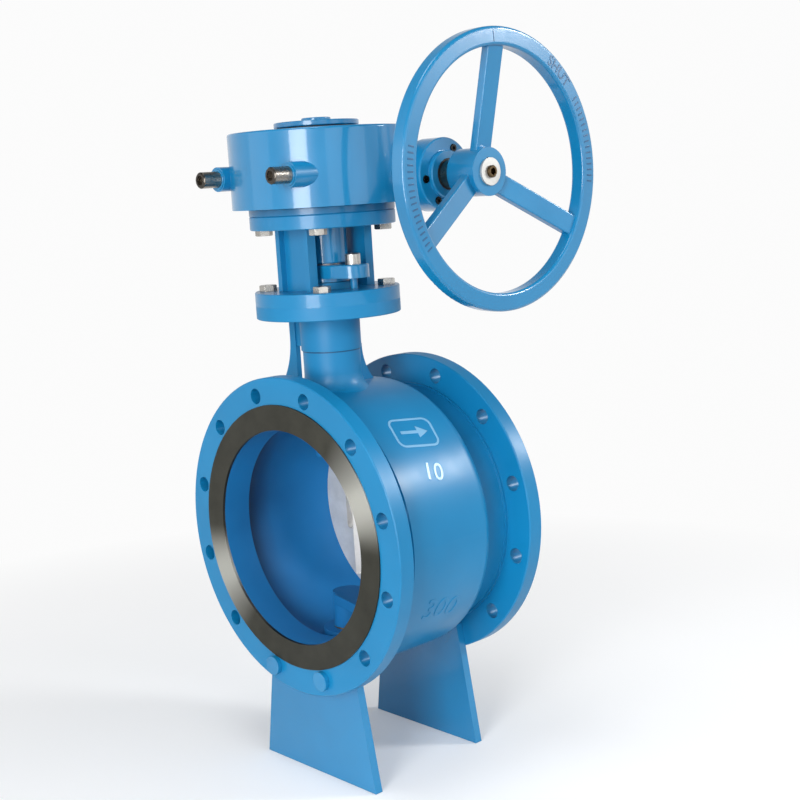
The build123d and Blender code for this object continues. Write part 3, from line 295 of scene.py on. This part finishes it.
def turned_steel(name, base, dark, axis, pitch, rough=(0.24, 0.42), blotch=0.25, brushed=0.75, turn=0.0,
                 fans=None):
    """Lathe-turned metal with fine rings about an axis and an anisotropic sheen.

    fans are the middle angle, half width and colour of two lighter fans painted on a turned face: a painted
    sheen, added to the real anisotropic sheen where the rings catch the light."""
    t = Tree(name)
    rings = t.add("ShaderNodeTexWave", wave_type="RINGS", rings_direction=axis, wave_profile="SIN")
    rings.inputs["Scale"].default_value = 1.0 / (WAVE_BANDS * pitch)
    rings.inputs["Distortion"].default_value = 0.4
    rings.inputs["Detail"].default_value = 2.0
    t.link(t.coords(), rings.inputs["Vector"])
    smear = t.noise(22.0, 4.0, 0.6)
    tone = t.mix(t.spread(smear, 0.3, 0.7, 0.0, blotch), base, dark)
    tone = t.mix(t.maths("MULTIPLY", rings.outputs["Fac"], 0.2), tone, dark)
    if fans:
        tone = t.mix(painted_sheen_mask(t, *fans[:2]), tone, fans[2])
    roughness = t.spread(smear, 0.25, 0.75, *rough)
    normal = t.bump(rings.outputs["Fac"], 0.02 * MM, 0.6, t.soft_edge(0.6 * MM))
    node = t.shader(Base_Color=tone, Roughness=roughness, Normal=normal)
    node.inputs["Metallic"].default_value = 1.0
    node.inputs["Anisotropic"].default_value = brushed
    node.inputs["Anisotropic Rotation"].default_value = turn
    tangent = t.add("ShaderNodeTangent", direction_type="RADIAL", axis=axis)
    t.link(tangent.outputs[0], node.inputs["Tangent"])
    return t.material


def plain_metal(name, base, dark, rough, scale=60.0, metallic=1.0):
    """Wrought or plated metal with fine scratches and handling marks."""
    t = Tree(name)
    blotch = t.noise(scale * 0.4, 4.0)
    scratch = t.noise(scale * 6, 3.0, 0.7)
    fine = t.noise(scale * 20, 2.0)
    tone = t.mix(t.spread(blotch, 0.35, 0.7), base, dark)
    tone = t.mix(t.spread(scratch, 0.55, 0.75, 0.0, 0.35), tone, dark)
    normal = t.bump(scratch, 0.03 * MM, 0.5, t.soft_edge(0.5 * MM))
    normal = t.bump(fine, 0.012 * MM, 0.5, normal)
    node = t.shader(Base_Color=tone, Roughness=t.spread(scratch, 0.3, 0.7, *rough), Normal=normal)
    node.inputs["Metallic"].default_value = metallic
    return t.material


def gland_steel(name, blue_below):
    """Zinc-plated bolts whose shanks are painted over below a height."""
    t = Tree(name)
    blotch = t.noise(24.0, 4.0)
    scratch = t.noise(360.0, 3.0, 0.7)
    metal = t.mix(t.spread(blotch, 0.35, 0.7), rgb(0.56, 0.55, 0.52), rgb(0.30, 0.29, 0.27))
    painted = t.maths("LESS_THAN", t.axes()[2], blue_below)
    bare = t.maths("SUBTRACT", 1.0, painted)
    tone = t.mix(painted, metal, ENAMEL)
    normal = t.bump(scratch, 0.03 * MM, 0.5, t.soft_edge(0.5 * MM))
    roughness = t.spread(scratch, 0.3, 0.7, 0.25, 0.4)
    t.shader(Base_Color=tone, Metallic=bare, Roughness=roughness, Normal=normal)
    return t.material


def threaded(name, base, dark, axis, pitch, end):
    """Oiled steel with a screw thread along an axis, darker over its end."""
    t = Tree(name)
    bands = t.add("ShaderNodeTexWave", wave_type="BANDS", bands_direction=axis, wave_profile="TRI")
    bands.inputs["Scale"].default_value = 1.0 / (WAVE_BANDS * pitch)
    t.link(t.coords(), bands.inputs["Vector"])
    blotch = t.noise(50.0, 3.0)
    tone = t.mix(t.spread(blotch, 0.35, 0.7, 0.0, 0.3), base, dark)
    tone = t.mix(t.spread(bands.outputs["Fac"], 0.0, 0.5, 0.35, 0.0), tone, dark)
    at_end = t.maths("LESS_THAN", t.axes()["XYZ".index(axis)], end)
    tone = t.mix(t.maths("MULTIPLY", at_end, 0.85), tone, dark)
    normal = t.bump(bands.outputs["Fac"], 0.3 * MM, 0.6, t.soft_edge(0.7 * MM))
    node = t.shader(Base_Color=tone, Roughness=t.spread(blotch, 0.3, 0.7, 0.2, 0.35), Normal=normal)
    node.inputs["Metallic"].default_value = 1.0
    return t.material


def soft_seal(name, base, light):
    """Moulded rubber or graphite packing: matt, faintly pitted."""
    t = Tree(name)
    pits = t.noise(300.0, 3.0)
    dust = t.noise(25.0, 4.0)
    tone = t.mix(t.spread(dust, 0.5, 0.8, 0.0, 0.5), base, light)
    normal = t.bump(pits, 0.08 * MM, 0.5)
    t.shader(Base_Color=tone, Roughness=t.spread(pits, 0.3, 0.7, 0.55, 0.8), Normal=normal)
    return t.material


BODY_BLUE = paint("body_enamel", wave=0.16, rough=0.35, coat=0.0, edge=0.5, gloss=0.44, lined=True)
BLUE = paint("blue_enamel", wave=0.05, rough=0.32, coat=0.70, edge=1.0)
FLUSH_BLUE = paint("yoke_enamel", wave=0.10, rough=0.38, coat=0.25, edge=0.25)
# Deeper than the enamel: painted shade on the gearbox base under the overhanging housing
BASE_PAINTED_SHADE_BLUE = paint("base_enamel_painted_shade", rgb(0.003, 0.15, 0.33), rgb(0.002, 0.13, 0.29), 0.05, 0.34, 0.25, 0.25)
# Lighter than the enamel: a painted highlight on the raised marks of the drum
MARK_PAINTED_HIGHLIGHT = paint("raised_mark_painted_highlight", rgb(0.20, 0.45, 0.68), rgb(0.14, 0.38, 0.60), 0.02, 0.36, 0.3, 0.4)
# Darker than the enamel: painted shade on the raised word and ticks of the rim, and the dark joint line
MARK_SHADE_AND_DARK_JOINT = paint("raised_mark_painted_shade_and_dark_joint", rgb(0.012, 0.11, 0.25), rgb(0.01, 0.09, 0.21), 0.02, 0.36, 0.3, 0.4)
BLUE_INSIDE = paint("blue_epoxy_lining", LINING, LINING_DEEP, 0.1, 0.75, 0.0, 0.8)
# The ring's last tuple paints two lighter fans into its colour: a painted sheen, on top of the real
# reflection of the lamps
RING = turned_steel("turned_face", rgb(0.075, 0.074, 0.060), rgb(0.040, 0.040, 0.034), "Y", 0.9 * MM,
                    (0.34, 0.42), 0.5, 0.95, 0.25, (28.0, 27.0, rgb(0.36, 0.36, 0.33)))
SEAT = plain_metal("seat_stainless", rgb(0.82, 0.81, 0.79), rgb(0.60, 0.59, 0.57), (0.38, 0.5),
                   metallic=0.35)
SHAFT = turned_steel("shaft_steel", rgb(0.17, 0.19, 0.16), rgb(0.06, 0.07, 0.06), "X", 0.5 * MM, (0.2, 0.34))
SPINDLE = turned_steel("stem_steel", rgb(0.42, 0.41, 0.39), rgb(0.2, 0.2, 0.19), "Z", 0.5 * MM, (0.2, 0.36))
ZINC = plain_metal("bolt_steel", rgb(0.50, 0.49, 0.46), rgb(0.24, 0.23, 0.21), (0.2, 0.36))
GLAND_BOLT = gland_steel("gland_bolt_steel", GLAND_PAINT_Z)
WASHER = plain_metal("washer_steel", rgb(0.56, 0.56, 0.54), rgb(0.42, 0.41, 0.39), (0.35, 0.5), metallic=0.6)
BLACK = plain_metal("black_steel", rgb(0.045, 0.044, 0.042), rgb(0.016, 0.016, 0.016), (0.22, 0.42), 80.0)
BRASS = plain_metal("hub_screw_brass", rgb(0.16, 0.11, 0.06), rgb(0.06, 0.04, 0.02), (0.25, 0.45), 90.0)
THREAD = threaded("stop_thread", rgb(0.36, 0.33, 0.29), rgb(0.04, 0.035, 0.03), "Y", 2.0 * MM, STOP_END_Y)
BRONZE = plain_metal("bronze", rgb(0.56, 0.36, 0.15), rgb(0.36, 0.21, 0.08), (0.25, 0.45))
SEAL = soft_seal("rubber", rgb(0.018, 0.018, 0.018), rgb(0.06, 0.06, 0.06))
PACKING = soft_seal("graphite_packing", rgb(0.03, 0.03, 0.032), rgb(0.08, 0.08, 0.085))

FINISH = {
    BODY_BLUE: ["valve_body"],
    FLUSH_BLUE: ["yoke"],
    BASE_PAINTED_SHADE_BLUE: ["gearbox_base"],
    BLUE: ["bottom_cover", "gland_flange", "front_foot", "rear_foot", "front_foot_bolts", "rear_foot_bolts",
           "gearbox_housing", "worm_tunnel_plug", "bearing_cap", "stem_coupling", "stop_lock_rings",
           "indicator_disc", "indicator_cap", "handwheel", "gland_follower"],
    BLUE_INSIDE: ["plug"],
    RING: ["inlet_face_ring", "outlet_face_ring"],
    SEAT: ["seat_ring", "seat_lock_ring", "plug_pin", "plug_trunnion"],
    SHAFT: ["worm_shaft"],
    SPINDLE: ["plug_stem", "gearbox_spindle"],
    ZINC: ["bottom_cover_bolts", "yoke_lower_bolts", "yoke_upper_bolts", "gearbox_base_screws"],
    GLAND_BOLT: ["gland_bolts"],
    WASHER: ["hub_washer"],
    BRASS: ["hub_screw"],
    BLACK: ["bearing_cap_screws", "coupling_key", "worm_wheel_key", "handwheel_key"],
    THREAD: ["stop_screw_closed", "stop_screw_open"],
    BRONZE: ["upper_stem_bush", "lower_stem_bush", "thrust_washer", "gearbox_base_bush", "gearbox_roof_bush",
             "worm_bush_inner", "worm_bush_outer", "worm_wheel"],
    SEAL: ["seat_seal", "bottom_gasket", "shaft_seal", "indicator_seal"],
    PACKING: ["packing_rings"],
}


def dress_nodes():
    """Give every CAD node its finish."""
    for material, names in FINISH.items():
        for name in names:
            slots = NODES[name].data.materials
            slots.clear()
            slots.append(material)


# ------------------------------------------------------------------ raised cast marks
def flat_form(name, outlines, height, round_off):
    """A mesh of flat closed outlines in mm, with rounded upper rims; it stands up along z."""
    curve = bpy.data.curves.new(name, "CURVE")
    curve.dimensions = "2D"
    curve.fill_mode = "BOTH"
    for outline in outlines:
        spline = curve.splines.new("POLY")
        spline.points.add(len(outline) - 1)
        for point, (x, y) in zip(spline.points, outline):
            point.co = (x * MM, y * MM, 0.0, 1.0)
        spline.use_cyclic_u = True
    return curve_mesh(name, curve, height, round_off)


def text_form(name, words, size, height, round_off):
    """A mesh of plain letters or figures, centred on its origin, size mm tall overall."""
    curve = bpy.data.curves.new(name, "FONT")
    curve.body = words
    curve.align_x = "CENTER"
    curve.align_y = "CENTER"
    curve.size = size * MM
    return curve_mesh(name, curve, height, round_off)


def curve_mesh(name, curve, height, round_off):
    """The raised and rounded mesh of a flat curve or text, with clean triangles."""
    curve.extrude = height / 2 * MM
    curve.bevel_depth = round_off * MM
    curve.bevel_resolution = 1
    holder = bpy.data.objects.new(name + "_curve", curve)
    SCENE.collection.objects.link(holder)
    bpy.context.view_layer.update()
    evaluated = holder.evaluated_get(bpy.context.evaluated_depsgraph_get())
    mesh = bpy.data.meshes.new_from_object(evaluated)
    bpy.data.objects.remove(holder)
    work = bmesh.new()
    work.from_mesh(mesh)
    bmesh.ops.remove_doubles(work, verts=work.verts, dist=0.01 * MM)
    bmesh.ops.triangulate(work, faces=work.faces)
    bmesh.ops.recalc_face_normals(work, faces=work.faces)
    work.to_mesh(mesh)
    work.free()
    return mesh


def place_mark(name, mesh, wrap, body, finish):
    """Bend a flat mark onto its surface with wrap(x, y, z) and hand it to the body it is cast on."""
    for vertex in mesh.vertices:
        vertex.co = wrap(*vertex.co)
    mesh.materials.clear()
    mesh.materials.append(finish)
    mesh.update()
    mark = bpy.data.objects.new(name, mesh)
    SCENE.collection.objects.link(mark)
    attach(mark, body)


def drum_wrap(y_mm, angle, slope):
    """Wrap onto the drum at a place along the pipe and an angle up from +X; slope tilts the mark."""
    sink = 0.4 * MM
    lean = math.radians(slope)

    def wrap(x, y, z):
        along = x * math.cos(lean) - y * math.sin(lean)
        around = x * math.sin(lean) + y * math.cos(lean)
        turn = math.radians(angle) + around / DRUM_R
        r = DRUM_R + z - sink
        return Vector((r * math.cos(turn), y_mm * MM + along, r * math.sin(turn)))

    return wrap


def rim_wrap(middle):
    """Wrap onto the front face of the rim, reading clockwise, centred at an angle up from +Y."""

    def wrap(x, y, z):
        turn = math.radians(middle) - x / RIM_MEAN_R
        r = RIM_MEAN_R + y
        spot = Vector((0.0, r * math.cos(turn), r * math.sin(turn)))
        return WHEEL_CENTRE + spot + Vector((RIM_FACE_X - WHEEL_CENTRE.x + z, 0.0, 0.0))

    return wrap


def bar(middle_x, width, height):
    """The outline of one upright bar."""
    x, y = width / 2, height / 2
    return [(middle_x - x, -y), (middle_x + x, -y), (middle_x + x, y), (middle_x - x, y)]


def tick_row(count, step_deg, width, height):
    """Evenly spaced ticks along the rim, about the middle of the row."""
    step = math.radians(step_deg) * RIM_MEAN_R / MM
    return [bar(step * (i - (count - 1) / 2), width, height) for i in range(count)]


def rounded_frame(half_x, half_y, corner):
    """The outline of a rectangle with round corners."""
    steps = 8
    points = []
    for quarter, (sx, sy) in enumerate(((1, 1), (-1, 1), (-1, -1), (1, -1))):
        for i in range(steps + 1):
            a = math.pi / 2 * (quarter + i / steps)
            points.append((sx * (half_x - corner) + corner * math.cos(a),
                           sy * (half_y - corner) + corner * math.sin(a)))
    return points


def make_marks():
    """Plain cast-on marks: a framed flow arrow, pressure and bore figures, and a word on the rim."""
    line = 2.6
    frame_outlines = [rounded_frame(35, 24, 12), rounded_frame(35 - line, 24 - line, 12 - line)]
    arrow_outline = [(-22, -2), (6, -2), (6, -9), (22, 0), (6, 9), (6, 2), (-22, 2)]
    flow = drum_wrap(116, 45.6, -8)
    # The frame, arrow and pressure figures take the lighter paint: a painted highlight on the raised marks
    border = flat_form("flow_frame", frame_outlines, 1.4, 0.35)
    place_mark("flow_frame", border, flow, "valve", MARK_PAINTED_HIGHLIGHT)
    arrow = flat_form("flow_arrow", [arrow_outline], 1.4, 0.35)
    place_mark("flow_arrow", arrow, flow, "valve", MARK_PAINTED_HIGHLIGHT)
    pressure = text_form("pressure_figures", "10", 34, 1.6, 0.35)
    place_mark("pressure_figures", pressure, drum_wrap(112, 27.5, -14), "valve", MARK_PAINTED_HIGHLIGHT)
    figures = text_form("bore_figures", "300", 46, 1.8, 0.35)
    place_mark("bore_figures", figures, drum_wrap(114, -29.5, -10), "valve", BODY_BLUE)
    # The word and ticks on the rim take the darker paint as painted shade; the joint line takes it as a dark
    # joint
    shut = text_form("shut_word", "SHUT", 20, 0.5, 0.15)
    place_mark("shut_word", shut, rim_wrap(48), "wheel_body", MARK_SHADE_AND_DARK_JOINT)
    for name, middle, count in (("rim_ticks_right", 12.5, 16), ("rim_ticks_left", 190.0, 18)):
        ticks = flat_form(name, tick_row(count, 2.6, 1.8, 9), 0.5, 0.15)
        place_mark(name, ticks, rim_wrap(middle), "wheel_body", MARK_SHADE_AND_DARK_JOINT)
    joint = flat_form("rim_joint_line", [bar(0, 0.9, 15)], 0.5, 0.15)
    place_mark("rim_joint_line", joint, rim_wrap(93.5), "wheel_body", MARK_SHADE_AND_DARK_JOINT)


# ------------------------------------------------------------------ stage and light
ROOM_LIGHT = 0.36
SEEN_WHITE = 0.97
SEEN_CEILING = 0.12
FLOOR_GLOW = 0.16


def area_light(name, place, target, size, radiance, size_y=None):
    """A soft box; its power follows from the brightness of its face."""
    tall = size_y or size
    data = bpy.data.lights.new(name, "AREA")
    data.energy = radiance * math.pi * size * tall
    data.shape = "RECTANGLE"
    data.size = size
    data.size_y = tall
    lamp = bpy.data.objects.new(name, data)
    direction = Vector(target) - Vector(place)
    lamp.location = place
    lamp.rotation_euler = direction.to_track_quat("-Z", "Y").to_euler()
    SCENE.collection.objects.link(lamp)


def seen_ray(t):
    """One where the ray comes from the camera, a reflection or glass."""
    path = t.add("ShaderNodeLightPath").outputs
    return t.maths("MAXIMUM", t.maths("MAXIMUM", path["Is Camera Ray"], path["Is Glossy Ray"]),
                   path["Is Transmission Ray"])


class WorldTree(Tree):
    """The same wrapper for the world's tree."""

    def __init__(self, name):
        world = bpy.data.worlds.new(name)
        SCENE.world = world
        world.use_nodes = True
        self.nodes = world.node_tree.nodes
        self.links = world.node_tree.links
        self.nodes.clear()
        self.out = self.add("ShaderNodeOutputWorld")


def make_world():
    """A white room with a grey ceiling to look at, and a soft plain level of light from all sides."""
    t = WorldTree("studio")
    direction = t.add("ShaderNodeSeparateXYZ")
    t.link(t.add("ShaderNodeTexCoord").outputs["Generated"], direction.inputs[0])
    room = t.add("ShaderNodeBackground")
    room.inputs["Color"].default_value = rgb(0.95, 0.97, 1.0)
    room.inputs["Strength"].default_value = ROOM_LIGHT
    white = t.add("ShaderNodeBackground")
    white.inputs["Color"].default_value = rgb(1, 1, 1)
    seen = t.spread(direction.outputs["Z"], 0.22, 0.75, SEEN_WHITE, SEEN_CEILING)
    t.link(seen, white.inputs["Strength"])
    mix = t.add("ShaderNodeMixShader")
    t.link(seen_ray(t), mix.inputs["Fac"])
    t.link(room.outputs[0], mix.inputs[1])
    t.link(white.outputs[0], mix.inputs[2])
    t.link(mix.outputs[0], t.out.inputs["Surface"])


def make_floor():
    """A pale floor that keeps the object's shadow and runs out into the white of the room."""
    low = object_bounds()[0][2]
    mesh = bpy.data.meshes.new("floor")
    work = bmesh.new()
    bmesh.ops.create_grid(work, x_segments=1, y_segments=1, size=14.0)
    work.to_mesh(mesh)
    work.free()
    floor = bpy.data.objects.new("floor", mesh)
    floor.location = (0.0, 0.0, low - 0.0005)
    SCENE.collection.objects.link(floor)
    t = Tree("pale_floor")
    x, y, _ = t.axes()
    far = t.spread(t.length(x, y), 0.45, 1.5)
    wash = t.noise(1.2, 3.0)
    shade = t.add("ShaderNodeBsdfDiffuse")
    grey = t.mix(t.spread(wash, 0.3, 0.7), rgb(0.80, 0.81, 0.82), rgb(0.84, 0.85, 0.86))
    t.link(grey, shade.inputs["Color"])
    glow = t.add("ShaderNodeEmission")
    t.link(t.maths("MULTIPLY", seen_ray(t), FLOOR_GLOW), glow.inputs["Strength"])
    near = t.add("ShaderNodeAddShader")
    t.link(shade.outputs[0], near.inputs[0])
    t.link(glow.outputs[0], near.inputs[1])
    white = t.add("ShaderNodeEmission")
    t.link(t.maths("MULTIPLY", seen_ray(t), SEEN_WHITE), white.inputs["Strength"])
    both = t.add("ShaderNodeMixShader")
    t.link(far, both.inputs["Fac"])
    t.link(near.outputs[0], both.inputs[1])
    t.link(white.outputs[0], both.inputs[2])
    t.link(both.outputs[0], t.out.inputs["Surface"])
    mesh.materials.append(t.material)


def make_lights():
    """A tall strip and a side lamp for the bright streaks, and three soft boxes to fill in."""
    middle = (0.0, 0.1, 0.2)
    area_light("strip", (1.06, -2.05, 0.50), middle, 0.90, 12.0, 1.5)
    area_light("side", (1.37, 1.58, 1.05), middle, 0.42, 36.0)
    area_light("right", (2.4, -0.1, 0.9), middle, 2.4, 1.0)
    area_light("front", (-1.3, -2.3, 1.0), middle, 1.6, 0.8, 1.6)
    area_light("top", (0.1, -0.5, 2.7), middle, 1.2, 5.0, 1.0)


make_camera()
dress_nodes()
make_marks()
make_world()
make_floor()
make_lights()
SCENE.view_settings.view_transform = "Standard"
